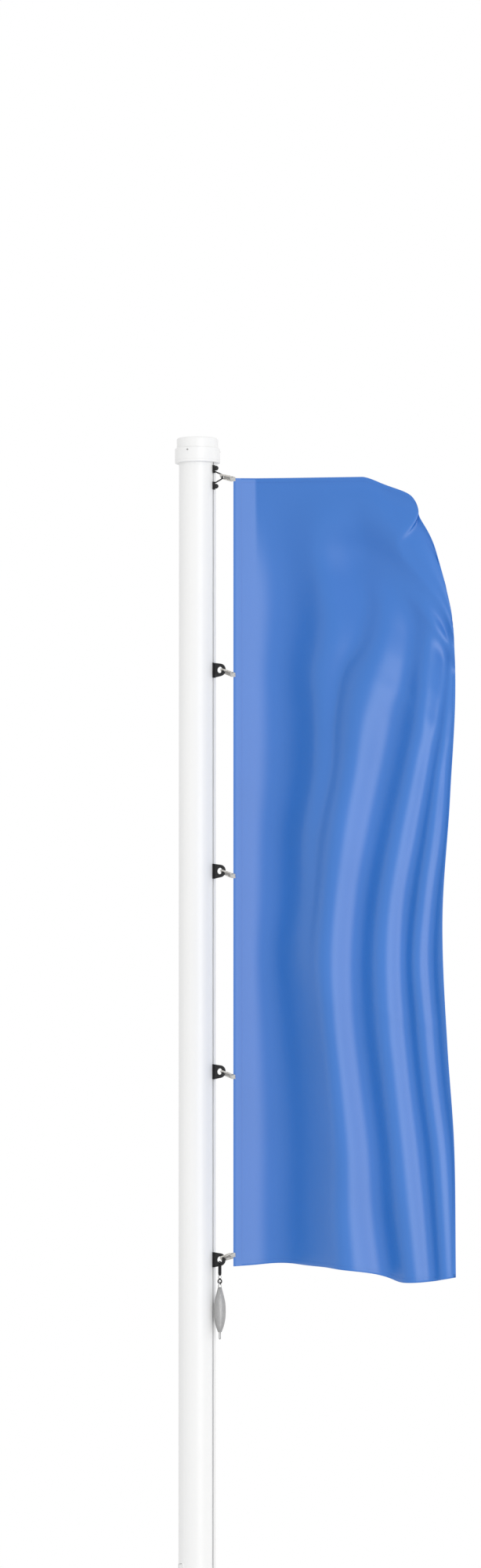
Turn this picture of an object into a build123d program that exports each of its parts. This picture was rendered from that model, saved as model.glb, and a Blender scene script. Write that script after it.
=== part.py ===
from build123d import *
from math import asin, degrees, radians, sqrt, tan
import os

# Flagpole with a slotted track: a round extruded tube under a two-step cap, sliders that run in
# the track, a portrait flag clipped to them and a weight that hangs from the lowest slider.
# Millimetres. +Z runs up the pole from the ground and +X points out of the track.

# Pole: a round extrusion with a T-shaped track behind a narrow slot
pole_diameter = 100.0
pole_height = 4354.0
pole_wall = 3.0
track_slot = 5.0
track_width = 16.0
track_depth = 10.0
track_wall = 2.5
plug_height = 30.0

# Cap: a collar round the tube's end and a smaller lid on top of it
collar_diameter = 122.0
collar_height = 40.0
collar_chamfer = 1.5
collar_line_height = 7.0
collar_line_depth = 0.6
lid_diameter = 112.0
lid_height = 30.0
lid_wall = 4.0
lid_edge_radius = 5.0
lid_crown = 2.0

# Hatch: a rim let into the tube wall and a curved door on two pivot pins
hatch_height_over_ground = 1300.0
hatch_bearing = -122.0
hatch_width = 30.0
hatch_height = 110.0
hatch_corner = 9.0
hatch_rim = 4.0
hatch_opening_corner = 2.0
hatch_raise = 1.5
hatch_depth = 4.0
door_gap = 1.2
door_sink = 0.5
door_thickness = 3.0
door_pin_diameter = 2.0
door_pin_inset = 1.3
door_pin_bite = 2.5
door_pin_play = 0.3

# Sliders: a foot in the track, a neck through the slot, and a tapered plate with an eye
track_play = 0.5
slider_gap = 0.5
slider_length = 40.0
slider_base_width = 10.0
slider_base_thickness = 3.0
eye_reach = 20.5
eye_hole_diameter = 17.2
eye_ring = 8.4
eye_thickness = 4.6

# Hoist runner: a longer foot with a pad and a knob near each end, and a bow of wire between them
runner_length = 66.0
runner_pad_length = 21.0
runner_top_gap = 7.5
knob_diameter = 13.0
knob_neck_diameter = 8.0
knob_spacing = 49.0
knob_reach = 5.5
bow_wire = 3.6
bow_reach = 25.5
bow_height = 29.0
bow_nose = 10.0
bow_stub = 4.0
bow_bend = 5.0
bow_end_bend = 3.0

# Clips: closed loops of bar, wider at the flag, rolled and sloping as they hang
clip_bar = 4.4
clip_length = 34.0
clip_nose_width = 13.2
clip_tail_width = 17.6
clip_nose_bend = 4.0
clip_tail_bend = 3.0
clip_roll = 40.0
clip_slopes = (14.0, 20.0, 20.0, 20.0, -15.0)
clip_seat = 3.6
clip_bow_seat = 5.3
strap_width = 11.0
strap_thickness = 1.6
strap_play = 0.3
strap_run = 4.2

# Flag: hung from its hoist edge and blown out. Its fold lines run from the top hem to the lower
# one, nine of them from hoist to fly, and each row of shares gives their reach and swing to the
# side at one height. The top corner droops, and the lower hem falls towards the fly.
flag_hoist = 2128.0
flag_reach = 702.0
flag_thickness = 2.0
flag_fold_depth = 100.0
flag_corner_drop = 285.0
flag_hem_drop = 60.0
flag_fit = 1.0
flag_rows = 24
flag_columns = 48
clip_place_shares = (0.0038, 0.2528, 0.508, 0.7617, 0.9859)
fold_height_shares = (0.0, 0.12, 0.28, 0.50, 0.75, 1.0)
fold_shares = (
    ((0.0, 0.0), (0.18, 0.75), (0.33, 0.55), (0.46, 0.80), (0.57, 0.55),
     (0.65, 0.75), (0.73, 0.60), (0.80, 0.90), (0.86, 1.0)),
    ((0.0, 0.0), (0.17, 0.70), (0.34, 0.45), (0.50, 0.80), (0.62, 0.55),
     (0.72, 0.85), (0.80, 0.65), (0.88, 0.90), (0.93, 0.75)),
    ((0.0, 0.0), (0.16, 0.70), (0.37, 0.15), (0.46, 0.05), (0.56, -0.10),
     (0.71, 0.40), (0.80, 0.20), (0.88, 0.45), (0.95, 0.40)),
    ((0.0, 0.0), (0.13, 0.60), (0.26, 0.10), (0.37, -0.30), (0.48, -0.55),
     (0.60, -0.05), (0.72, -0.40), (0.82, -0.10), (0.96, -0.20)),
    ((0.0, 0.0), (0.14, 0.60), (0.27, 0.20), (0.38, -0.20), (0.47, -0.45),
     (0.58, 0.0), (0.70, -0.40), (0.80, -0.10), (0.98, -0.30)),
    ((0.0, 0.0), (0.15, 0.65), (0.29, 0.25), (0.40, -0.15), (0.52, -0.40),
     (0.65, 0.15), (0.78, -0.25), (0.87, 0.05), (1.0, -0.10)),
)
droop_shares = (0.0, 0.0, 0.0, 0.01, 0.04, 0.11, 0.27, 0.63, 1.0)

# Weight: a snap hook in the lowest eye, a swivel, a ring and a filled sleeve with loops
hook_bar = 3.8
hook_length = 34.0
hook_width = 9.8
hook_bend = 3.8
hook_seat = 2.8
hook_stem_diameter = 5.0
hook_stem_length = 4.0
swivel_diameter = 9.0
swivel_height = 6.0
ring_stem_diameter = 6.0
ring_stem_length = 3.0
ring_radius = 5.5
ring_wire = 3.4
link_play = 0.8
loop_wire = 3.0
loop_width = 9.0
loop_bend = 4.2
ferrule_diameter = 10.0
ferrule_height = 5.0
loop_leg = 9.0
weight_length = 120.0
weight_radius = 16.0
sleeve_thickness = 1.5
core_play = 0.2
weight_shares = (
    (0.0, 0.30), (0.18, 0.66), (0.33, 0.91), (0.54, 1.0), (0.67, 0.96), (0.84, 0.73), (1.0, 0.32),
)
tail_wire = 2.8
tail_width = 6.4
tail_bend = 3.0
tail_leg = 19.0

# Places that follow from the sizes above
overrun = pole_diameter
pole_radius = pole_diameter / 2
pole_bore = pole_radius - pole_wall
track_floor = pole_bore - track_depth
base_x = pole_radius + slider_gap
pad_x = base_x + slider_base_thickness
eye_x = base_x + eye_reach
eye_radius = eye_hole_diameter / 2
nose_reach = eye_radius - clip_seat
flag_x = eye_x + nose_reach + clip_length + strap_run
bow_x = pad_x + bow_reach
collar_z = pole_height - collar_height
runner_z = collar_z - runner_top_gap - runner_length / 2
flag_top = runner_z - (flag_x - bow_x) * tan(radians(clip_slopes[0])) + clip_place_shares[0] * flag_hoist


def eye_height(number):
    """Height of the eye that carries a clip, from the clip's place on the flag and its slope."""
    drop = (flag_x - eye_x) * tan(radians(clip_slopes[number]))
    return flag_top - clip_place_shares[number] * flag_hoist + drop


def span(x_from, x_to, y_width, z_from, z_to):
    """A box given by its ends along X and Z and its width across Y."""
    middle = Pos((x_from + x_to) / 2, 0, (z_from + z_to) / 2)
    return middle * Box(x_to - x_from, y_width, z_to - z_from)


def bar_along(path, diameter):
    """Round bar along a path."""
    return sweep(Plane(origin=path @ 0, z_dir=path % 0) * Circle(diameter / 2), path=path)


def closed_bar(narrow, wide, length, narrow_bend, wide_bend, diameter):
    """Round bar bent to a closed loop from the origin along +X, with widths given at bar centre."""
    corners = [(0, -narrow / 2), (length, -wide / 2), (length, wide / 2), (0, narrow / 2)]
    bends = [narrow_bend, wide_bend, wide_bend, narrow_bend]
    return bar_along(FilletPolyline(*corners, radius=bends, close=True), diameter)


def u_bar(width, leg, bend, diameter):
    """Round bar bent to a U in the YZ plane, with both ends on z = 0."""
    points = [(0, -width / 2, 0), (0, -width / 2, leg), (0, width / 2, leg), (0, width / 2, 0)]
    return bar_along(FilletPolyline(*points, radius=bend), diameter)


# Pole and cap

def track_outline():
    """Outline of the track's channel, from the back of its floor to the tube's outside."""
    back_x = track_floor - track_wall
    middle = Pos((back_x + pole_radius) / 2, 0)
    return middle * Rectangle(pole_radius - back_x, track_width + 2 * track_wall)


def pole_section():
    """Tube wall with the track's C-shaped channel on its inside, open at the slot."""
    outside = Circle(pole_radius)
    void = Pos((track_floor + pole_bore) / 2, 0) * Rectangle(track_depth, track_width)
    slot = Pos((track_floor + pole_diameter) / 2, 0) * Rectangle(pole_diameter - track_floor, track_slot)
    return (outside - Circle(pole_bore)) + (track_outline() & outside) - void - slot


def hatch_block(width, height, corner):
    """Rounded block that reaches through the tube wall on the hatch's side."""
    face = Plane.YZ.offset(pole_radius / 2) * RectangleRounded(width, height, corner)
    block = extrude(face, amount=overrun / 2)
    return Pos(0, 0, hatch_height_over_ground) * Rot(0, 0, hatch_bearing) * block


def hatch_shell(outer, inner):
    """Piece of a tube as tall as the hatch."""
    ring = Circle(outer) - Circle(inner)
    bottom = hatch_height_over_ground - hatch_height / 2
    return Pos(0, 0, bottom) * extrude(ring, amount=hatch_height)


def make_pole():
    tube = extrude(pole_section(), amount=pole_height)
    return tube - hatch_block(hatch_width, hatch_height, hatch_corner)


def make_plug():
    """Foot plug that fills the tube's bore beside the track."""
    return extrude(Circle(pole_bore) - track_outline(), amount=plug_height)


def make_collar():
    """Turned collar with chamfered edges and a fine line above its lower edge."""
    radius = collar_diameter / 2
    line_radius = radius - collar_line_depth
    profile = Polyline(
        (pole_radius, 0),
        (radius - collar_chamfer, 0),
        (radius, collar_chamfer),
        (radius, collar_line_height),
        (line_radius, collar_line_height + collar_line_depth),
        (radius, collar_line_height + 2 * collar_line_depth),
        (radius, collar_height - collar_chamfer),
        (radius - collar_chamfer, collar_height),
        (pole_radius, collar_height),
        close=True,
    )
    return Pos(0, 0, collar_z) * revolve(Plane.XZ * make_face(profile), Axis.Z)


def make_lid():
    """Hollow lid with a rounded edge and a slightly crowned top."""
    radius = lid_diameter / 2
    shoulder = lid_height - lid_crown
    flat = radius - lid_edge_radius
    crown_radius = (flat ** 2 + lid_crown ** 2) / (2 * lid_crown)
    crown_sweep = degrees(asin(flat / crown_radius))
    outline = [
        Line((radius, 0), (radius, shoulder - lid_edge_radius)),
        CenterArc((flat, shoulder - lid_edge_radius), lid_edge_radius, 0, 90),
        CenterArc((0, lid_height - crown_radius), crown_radius, 90 - crown_sweep, crown_sweep),
        Line((0, lid_height), (0, lid_height - lid_wall)),
        Line((0, lid_height - lid_wall), (radius - lid_wall, shoulder - lid_wall)),
        Line((radius - lid_wall, shoulder - lid_wall), (radius - lid_wall, 0)),
        Line((radius - lid_wall, 0), (radius, 0)),
    ]
    return Pos(0, 0, pole_height) * revolve(Plane.XZ * make_face(outline), Axis.Z)


# Hatch

def make_hatch_frame():
    """Rim that lines the opening in the tube wall and stands a little proud of it."""
    block = hatch_block(hatch_width, hatch_height, hatch_corner)
    opening = hatch_block(
        hatch_width - 2 * hatch_rim, hatch_height - 2 * hatch_rim, hatch_opening_corner)
    rim = (hatch_shell(pole_radius + hatch_raise, pole_radius - hatch_depth) & block) - opening
    return rim - door_pins(door_pin_diameter + door_pin_play, door_pin_play)


def door_pin_place():
    """Pivot axis in the hatch's own frame, set in from the door's edge and outer face."""
    edge = hatch_width / 2 - hatch_rim - door_gap
    face = sqrt((pole_radius + hatch_raise - door_sink) ** 2 - edge ** 2)
    return face - door_pin_inset, -(edge - door_pin_inset)


def door_pins(diameter, extra):
    """Two stub pins, above and below the door, on the pivot axis."""
    x, y = door_pin_place()
    reach = hatch_height / 2 - hatch_rim + door_pin_bite + extra
    length = door_gap + 2 * door_pin_bite + extra
    stub = Pos(x, y, reach - length / 2) * Cylinder(diameter / 2, length)
    both = stub + mirror(stub, Plane.XY)
    return Pos(0, 0, hatch_height_over_ground) * Rot(0, 0, hatch_bearing) * both


def make_hatch_door():
    """Curved door that fills the rim, with its two pivot pins."""
    inside = hatch_rim + door_gap
    block = hatch_block(hatch_width - 2 * inside, hatch_height - 2 * inside, hatch_opening_corner)
    face_radius = pole_radius + hatch_raise - door_sink
    plate = hatch_shell(face_radius, face_radius - door_thickness) & block
    return plate + door_pins(door_pin_diameter, 0)


# Sliders and hoist runner

def track_foot(length):
    """Foot that runs in the track, centred on z = 0."""
    width = track_width - 2 * track_play
    return span(track_floor + track_play, pole_bore - track_play, width, -length / 2, length / 2)


def slot_pad(z_from, z_to):
    """Pad outside the tube, with the neck that joins it to the foot through the slot."""
    neck = span(track_floor + track_play, pad_x, track_slot - track_play, z_from, z_to)
    return neck + span(base_x, pad_x, slider_base_width, z_from, z_to)


def make_slider(number):
    """Slider whose plate tapers from the pad to a round eye."""
    root = Pos(base_x + slider_base_thickness / 2, 0) * Rectangle(slider_base_thickness, slider_length)
    end = Pos(eye_x, 0) * Circle(eye_radius + eye_ring)
    outline = make_hull(root.edges() + end.edges())
    plate = extrude(Plane.XZ * outline, amount=eye_thickness / 2, both=True)
    hole = Pos(eye_x, 0, 0) * Rot(90, 0, 0) * Cylinder(eye_radius, overrun)
    half = slider_length / 2
    shoe = track_foot(slider_length) + slot_pad(-half, half)
    return Pos(0, 0, eye_height(number)) * (shoe + plate - hole)


def make_runner():
    """Hoist runner: one foot in the track, with a pad and a knob near each of its ends."""
    half = runner_length / 2
    neck = Rot(0, 90, 0) * Cylinder(knob_neck_diameter / 2, knob_reach)
    end = slot_pad(half - runner_pad_length, half)
    end += Pos(pad_x + knob_reach / 2, 0, knob_spacing / 2) * neck
    end += Pos(pad_x + knob_reach, 0, knob_spacing / 2) * Sphere(knob_diameter / 2)
    return Pos(0, 0, runner_z) * (track_foot(runner_length) + end + mirror(end, Plane.XY))


def make_bow():
    """Bow of wire that stands out of the runner's pad between the knobs."""
    half = bow_height / 2
    tip = bow_nose / 2
    stub_x = pad_x + bow_stub
    path = FilletPolyline(
        (pad_x, 0, half), (stub_x, 0, half), (bow_x, 0, tip),
        (bow_x, 0, -tip), (stub_x, 0, -half), (pad_x, 0, -half),
        radius=[bow_end_bend, bow_bend, bow_bend, bow_end_bend],
    )
    return Pos(0, 0, runner_z) * bar_along(path, bow_wire)


# Clips and straps

def clip_frame(number):
    """Place of a clip: its nose at the origin, +X towards the flag, rolled and sloping."""
    if number == 0:
        anchor = Pos(bow_x, 0, runner_z)
        reach = -clip_bow_seat
    else:
        anchor = Pos(eye_x, 0, eye_height(number))
        reach = nose_reach
    return anchor * Rot(0, clip_slopes[number], 0) * Pos(reach, 0, 0) * Rot(-clip_roll, 0, 0)


def make_clip(number):
    loop = closed_bar(
        clip_nose_width, clip_tail_width, clip_length, clip_nose_bend, clip_tail_bend, clip_bar)
    return clip_frame(number) * loop


def make_strap(number):
    """Strap that is folded round the clip's tail and ends on the flag's hoist edge."""
    bore = clip_bar / 2 + strap_play
    outer = bore + strap_thickness
    tail = clip_length
    run = flag_x - eye_x
    side = Pos(tail, 0) * Circle(outer) + Pos(tail + run / 2, 0) * Rectangle(run, 2 * outer)
    side -= Pos(tail, 0) * Circle(bore)
    strap = clip_frame(number) * extrude(Plane.XZ * side, amount=strap_width / 2, both=True)
    return strap - span(flag_x, flag_x + overrun, overrun, 0, pole_height)


# Flag

def flag_point(height_share, place_share, swing_share, droop_share):
    """Point of a fold line, from its height on the flag, its reach, its swing and its droop."""
    drop = height_share * flag_hoist
    drop += droop_share * (1 - height_share) * flag_corner_drop
    drop += place_share * height_share ** 2 * flag_hem_drop
    side = swing_share * flag_fold_depth - flag_thickness / 2
    return flag_x + place_share * flag_reach, side, flag_top - drop


def make_flag():
    """Cloth drawn smoothly over its fold lines and given its thickness."""
    rows = [
        [flag_point(height, *place, droop) for place, droop in zip(row, droop_shares)]
        for height, row in zip(fold_height_shares, fold_shares)
    ]
    fold_lines = [Spline(list(line)) for line in zip(*rows)]
    sections = [Spline([line @ (k / flag_rows) for line in fold_lines]) for k in range(flag_rows + 1)]
    grid = [[section @ (k / flag_columns) for k in range(flag_columns + 1)] for section in sections]
    cloth = Face.make_surface_from_array_of_points(grid, tol=flag_fit, min_deg=3)
    return extrude(cloth, amount=flag_thickness, dir=(0, 1, 0))


# Weight

hook_z = eye_height(len(clip_slopes) - 1) - eye_radius + hook_seat
stem_z = hook_z - hook_length
swivel_z = stem_z - hook_stem_length
ring_stem_z = swivel_z - swivel_height
ring_z = ring_stem_z - ring_stem_length - ring_radius
loop_z = ring_z - ring_radius + (ring_wire + loop_wire) / 2 + link_play
ferrule_z = loop_z - loop_leg
weight_z = ferrule_z - ferrule_height
tail_z = weight_z - weight_length


def make_hook():
    """Closed snap hook across the eye, with a stem below it."""
    loop = Rot(0, 90, 0) * closed_bar(hook_width, hook_width, hook_length, hook_bend, hook_bend, hook_bar)
    stem = Cylinder(hook_stem_diameter / 2, hook_stem_length)
    stem = Pos(0, 0, -hook_length - hook_stem_length / 2) * stem
    return Pos(eye_x, 0, hook_z) * (loop + stem)


def make_swivel():
    return Pos(eye_x, 0, swivel_z - swivel_height / 2) * Cylinder(swivel_diameter / 2, swivel_height)


def make_ring():
    """Ring of the swivel, on a short stem."""
    ring = Pos(0, 0, ring_z) * Rot(90, 0, 0) * Torus(ring_radius, ring_wire / 2)
    stem = Cylinder(ring_stem_diameter / 2, ring_stem_length)
    stem = Pos(0, 0, ring_stem_z - ring_stem_length / 2) * stem
    return Pos(eye_x, 0, 0) * (ring + stem)


def make_weight_loop():
    return Pos(eye_x, 0, ferrule_z) * u_bar(loop_width, loop_leg, loop_bend, loop_wire)


def make_ferrule():
    return Pos(eye_x, 0, ferrule_z - ferrule_height / 2) * Cylinder(ferrule_diameter / 2, ferrule_height)


def weight_form(inset):
    """Bellied form of the weight, drawn in from its outer face and its ends by the inset."""
    length = weight_length - 2 * inset
    side = Spline([(weight_radius * r - inset, -inset - length * u) for u, r in weight_shares])
    top = Line((0, -inset), side @ 0)
    bottom = Line(side @ 1, (0, inset - weight_length))
    axis = Line((0, inset - weight_length), (0, -inset))
    return Pos(eye_x, 0, weight_z) * revolve(Plane.XZ * make_face([top, side, bottom, axis]), Axis.Z)


def make_sleeve():
    """Closed sleeve of braid round the core."""
    return weight_form(0) - weight_form(sleeve_thickness)


def make_core():
    """Heavy filling inside the sleeve."""
    return weight_form(sleeve_thickness + core_play)


def make_tail():
    """Pull loop under the weight."""
    return Pos(eye_x, 0, tail_z) * Rot(180, 0, 0) * u_bar(tail_width, tail_leg, tail_bend, tail_wire)


parts = {
    "pole_tube": make_pole(),
    "foot_plug": make_plug(),
    "cap_collar": make_collar(),
    "cap_lid": make_lid(),
    "hatch_frame": make_hatch_frame(),
    "hatch_door": make_hatch_door(),
    "hoist_runner": make_runner(),
    "hoist_bow": make_bow(),
    "flag": make_flag(),
    "weight_hook": make_hook(),
    "weight_swivel": make_swivel(),
    "weight_ring": make_ring(),
    "weight_loop": make_weight_loop(),
    "weight_ferrule": make_ferrule(),
    "weight_sleeve": make_sleeve(),
    "weight_core": make_core(),
    "weight_tail": make_tail(),
}
for number in range(len(clip_slopes)):
    parts[f"clip_{number + 1}"] = make_clip(number)
    parts[f"strap_{number + 1}"] = make_strap(number)
    if number > 0:
        parts[f"slider_{number}"] = make_slider(number)

os.makedirs("parts", exist_ok=True)
for node, shape in parts.items():
    export_step(shape, f"parts/{node}.step")
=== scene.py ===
import math

import bpy
import numpy as np
from mathutils import Matrix, Vector


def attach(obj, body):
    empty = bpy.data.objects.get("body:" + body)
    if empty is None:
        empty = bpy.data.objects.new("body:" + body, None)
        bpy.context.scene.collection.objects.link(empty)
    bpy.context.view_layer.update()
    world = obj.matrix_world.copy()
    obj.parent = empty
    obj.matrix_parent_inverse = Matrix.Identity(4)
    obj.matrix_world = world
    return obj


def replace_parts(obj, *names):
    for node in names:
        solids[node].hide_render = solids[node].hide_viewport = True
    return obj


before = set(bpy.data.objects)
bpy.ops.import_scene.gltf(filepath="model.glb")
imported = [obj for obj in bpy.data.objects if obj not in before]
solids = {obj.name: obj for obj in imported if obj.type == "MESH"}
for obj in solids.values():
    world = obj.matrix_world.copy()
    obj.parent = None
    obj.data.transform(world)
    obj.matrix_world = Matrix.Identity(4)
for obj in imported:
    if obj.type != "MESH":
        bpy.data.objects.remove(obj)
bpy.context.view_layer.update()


# Pole tube: a round aluminium extrusion with a slotted track up its flag side. It is powder
# coated white after drawing, so the coat has a faint orange peel over straight die lines. The
# slot's lips are painted a little grey in patches, as painted shade along the slot.
def new_finish(name, colour, roughness, **sockets):
    """Material with its shader's plain values set, and the tree and shader to build on."""
    made = bpy.data.materials.new(name)
    made.use_nodes = True
    shader = made.node_tree.nodes["Principled BSDF"]
    shader.inputs["Base Color"].default_value = (*colour, 1)
    shader.inputs["Roughness"].default_value = roughness
    for socket, value in sockets.items():
        shader.inputs[socket.replace("_", " ")].default_value = value
    return made, made.node_tree, shader


def add(tree, kind, values=None, **settings):
    """Node of a kind, with its settings and its inputs' values; a socket given as a value is linked."""
    made = tree.nodes.new(kind)
    for name, value in settings.items():
        setattr(made, name, value)
    for key, value in (values or {}).items():
        if isinstance(value, bpy.types.NodeSocket):
            tree.links.new(value, made.inputs[key])
        else:
            made.inputs[key].default_value = value
    return made


def object_place(tree, scale=(1, 1, 1)):
    """Object coordinates, stretched along each axis."""
    place = add(tree, "ShaderNodeTexCoord").outputs["Object"]
    return add(tree, "ShaderNodeMapping", {"Vector": place, "Scale": scale}).outputs["Vector"]


def noise(tree, place, scale, detail=2.0, roughness=0.5):
    """Factor of a noise at a place."""
    values = {"Vector": place, "Scale": scale, "Detail": detail, "Roughness": roughness}
    return add(tree, "ShaderNodeTexNoise", values).outputs["Fac"]


def between(tree, factor, low, high, start=0.0, stop=1.0):
    """A factor from start to stop, mapped to a range of values."""
    values = {"Value": factor, "From Min": start, "From Max": stop, "To Min": low, "To Max": high}
    return add(tree, "ShaderNodeMapRange", values).outputs["Result"]


def worked(tree, operation, first, second=0.0):
    """Value of a sum on one or two values or sockets."""
    return add(tree, "ShaderNodeMath", {0: first, 1: second}, operation=operation).outputs[0]


def mixed(tree, factor, first, second):
    """Colour between two colours, or a socket and a colour."""
    made = tree.nodes.new("ShaderNodeMix")
    made.data_type = "RGBA"
    for key, value in ((0, factor), (6, first), (7, second)):
        if isinstance(value, bpy.types.NodeSocket):
            tree.links.new(value, made.inputs[key])
        elif key == 0:
            made.inputs[key].default_value = value
        else:
            made.inputs[key].default_value = (*value, 1)
    return made.outputs[2]


def toned(tree, shader, factor, first, second):
    """Base colour that runs from one colour to another by a factor."""
    paint = mixed(tree, factor, first, second)
    tree.links.new(paint, shader.inputs["Base Color"])
    return paint


def bumped(tree, shader, height, distance, strength=1.0, under=None):
    """Bump of a real depth in metres, laid over another bump if one is given."""
    values = {"Height": height, "Distance": distance, "Strength": strength}
    if under is not None:
        values["Normal"] = under
    bump = add(tree, "ShaderNodeBump", values).outputs["Normal"]
    tree.links.new(bump, shader.inputs["Normal"])
    return bump


def coat_finish(name, colour, shade, die_lines):
    """Baked white powder coat: faint tone changes, orange peel, and die lines on extrusions."""
    made, tree, shader = new_finish(name, colour, 0.38, Specular_IOR_Level=0.5)
    place = object_place(tree)
    tone = noise(tree, object_place(tree, (6, 6, 1.2)), 1.0, 4.0)
    paint = toned(tree, shader, between(tree, tone, 0, 1, 0.35, 0.65), colour, shade)
    tree.links.new(between(tree, noise(tree, place, 40, 3.0), 0.32, 0.46), shader.inputs["Roughness"])
    peel = bumped(tree, shader, noise(tree, place, 420, 2.0), 0.00008)
    if die_lines:
        lines = noise(tree, object_place(tree, (900, 900, 2)), 1.0, 2.0)
        bumped(tree, shader, lines, 0.00003, 1.0, peel)
    return made, tree, shader, paint


def paint_node(node, finish):
    """Gives a CAD solid its finish."""
    solids[node].data.materials.clear()
    solids[node].data.materials.append(finish)


coat_white, coat_shade = (0.86, 0.86, 0.855), (0.84, 0.84, 0.835)
pole_coat, coat_tree, coat_shader, coat_paint = coat_finish("pole_white", coat_white, coat_shade, True)
# Painted shade: a patchy grey band along the slot's lips stands in for the shade along the slot.
slot_shade_axes = add(coat_tree, "ShaderNodeSeparateXYZ", {"Vector": object_place(coat_tree)})
slot_shade_side = worked(coat_tree, "ABSOLUTE", slot_shade_axes.outputs["Y"])
slot_shade_edge = between(coat_tree, slot_shade_side, 1, 0, 0.0026, 0.0085)
slot_shade_front = between(coat_tree, slot_shade_axes.outputs["X"], 0, 1, 0.030, 0.046)
slot_shade_grain = noise(coat_tree, object_place(coat_tree, (300, 300, 9)), 1.0, 4.0)
slot_shade_patch = between(coat_tree, slot_shade_grain, 0.25, 1, 0.3, 0.7)
slot_shade = worked(coat_tree, "MULTIPLY", slot_shade_edge, slot_shade_front)
slot_shade = worked(coat_tree, "MULTIPLY", slot_shade, slot_shade_patch)
toned(coat_tree, coat_shader, slot_shade, coat_paint, (0.66, 0.665, 0.67))
paint_node("pole_tube", pole_coat)


# Foot plug: a grey moulded plug pressed into the tube's lower end, to keep the ground out.
# Matt plastic with the fine spark texture of its mould.
plug_grey, plug_tree, plug_shader = new_finish("plug_grey", (0.12, 0.125, 0.13), 0.65)
plug_place = object_place(plug_tree)
plug_tone = noise(plug_tree, plug_place, 60, 3.0)
toned(plug_tree, plug_shader, plug_tone, (0.10, 0.105, 0.11), (0.14, 0.145, 0.15))
bumped(plug_tree, plug_shader, noise(plug_tree, plug_place, 1500, 2.0), 0.0001)
paint_node("foot_plug", plug_grey)


# Cap: a turned collar over the tube's end and a smaller lid dropped into it, coated like the
# tube but without die lines. Three steel socket screws pin the collar to the tube.
def show(name, mesh):
    """Object for a mesh, at the origin."""
    made = bpy.data.objects.new(name, mesh)
    bpy.context.scene.collection.objects.link(made)
    return made


def node_tree(name, inputs):
    """Geometry Nodes tree with named inputs, its inputs' sockets and its result's socket."""
    made = bpy.data.node_groups.new(name, "GeometryNodeTree")
    made.interface.new_socket("Base", in_out="INPUT", socket_type="NodeSocketGeometry")
    for label, kind in inputs.items():
        made.interface.new_socket(label, in_out="INPUT", socket_type="NodeSocket" + kind)
    made.interface.new_socket("Made", in_out="OUTPUT", socket_type="NodeSocketGeometry")
    return made, made.nodes.new("NodeGroupInput").outputs, made.nodes.new("NodeGroupOutput").inputs[0]


def finish_tree(tree, instances, finish, result):
    """Ends a tree: its instances are made real and take their material."""
    real = add(tree, "GeometryNodeRealizeInstances", {"Geometry": instances}).outputs["Geometry"]
    painted = add(tree, "GeometryNodeSetMaterial", {"Geometry": real, "Material": finish})
    tree.links.new(painted.outputs["Geometry"], result)


def spun(tree, angle):
    """Rotation about Z by an angle."""
    euler = add(tree, "ShaderNodeCombineXYZ", {"Z": angle}).outputs[0]
    return add(tree, "FunctionNodeEulerToRotation", {0: euler}).outputs[0]


def grown(name, base, tree, values):
    """Object of the mesh that a tree makes from a base mesh and these values."""
    holder = show(name + " base", base)
    grow = holder.modifiers.new(name, "NODES")
    grow.node_group = tree
    for item in tree.interface.items_tree:
        if item.in_out == "INPUT" and item.name in values:
            grow[item.identifier] = values[item.name]
    holder.update_tag()
    graph = bpy.context.evaluated_depsgraph_get()
    made = bpy.data.meshes.new_from_object(holder.evaluated_get(graph))
    bpy.data.objects.remove(holder)
    made.name = name
    return show(name, made)


cap_coat = coat_finish("cap_white", coat_white, coat_shade, False)[0]
for cap_node in ("cap_collar", "cap_lid"):
    paint_node(cap_node, cap_coat)

screw_steel, screw_look, screw_shader = new_finish("screw_steel", (0.42, 0.42, 0.42), 0.4, Metallic=0.6)
screw_tone = noise(screw_look, object_place(screw_look), 900, 3.0)
toned(screw_look, screw_shader, screw_tone, (0.38, 0.38, 0.38), (0.48, 0.478, 0.47))
screw_tree, given, result = node_tree("socket screws", {
    "Count": "Int", "Ring Radius": "Float", "Height": "Float", "Turn": "Float",
    "Screw Radius": "Float", "Socket Radius": "Float", "Length": "Float", "Finish": "Material"})
ring = add(screw_tree, "GeometryNodeMeshCircle", {
    "Vertices": given["Count"], "Radius": given["Ring Radius"]}).outputs[0]
ring_lift = add(screw_tree, "ShaderNodeCombineXYZ", {"Z": given["Height"]}).outputs[0]
ring = add(screw_tree, "GeometryNodeTransform", {
    "Geometry": ring, "Translation": ring_lift, "Rotation": spun(screw_tree, given["Turn"])})
shank = add(screw_tree, "GeometryNodeMeshCylinder", {
    "Vertices": 28, "Radius": given["Screw Radius"], "Depth": given["Length"]})
socket = add(screw_tree, "GeometryNodeMeshCylinder", {
    "Vertices": 6, "Radius": given["Socket Radius"], "Depth": given["Length"]})
# The socket's cutter is as long as the screw and sinks an eighth of that into its end.
socket_lift = worked(screw_tree, "MULTIPLY", given["Length"], 0.875)
socket_lift = add(screw_tree, "ShaderNodeCombineXYZ", {"Z": socket_lift}).outputs[0]
socket = add(screw_tree, "GeometryNodeTransform", {
    "Geometry": socket.outputs["Mesh"], "Translation": socket_lift})
screw = add(screw_tree, "GeometryNodeMeshBoolean", {
    "Mesh 1": shank.outputs["Mesh"], "Mesh 2": socket.outputs[0]}, operation="DIFFERENCE")
station = add(screw_tree, "GeometryNodeInputPosition").outputs[0]
outward = add(screw_tree, "ShaderNodeVectorMath", {0: station, 1: (1, 1, 0)}, operation="MULTIPLY")
facing = add(screw_tree, "FunctionNodeAlignRotationToVector", {"Vector": outward.outputs[0]}, axis="Z")
screws = add(screw_tree, "GeometryNodeInstanceOnPoints", {
    "Points": ring.outputs[0], "Instance": screw.outputs["Mesh"], "Rotation": facing.outputs[0]})
finish_tree(screw_tree, screws.outputs[0], given["Finish"], result)
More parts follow.
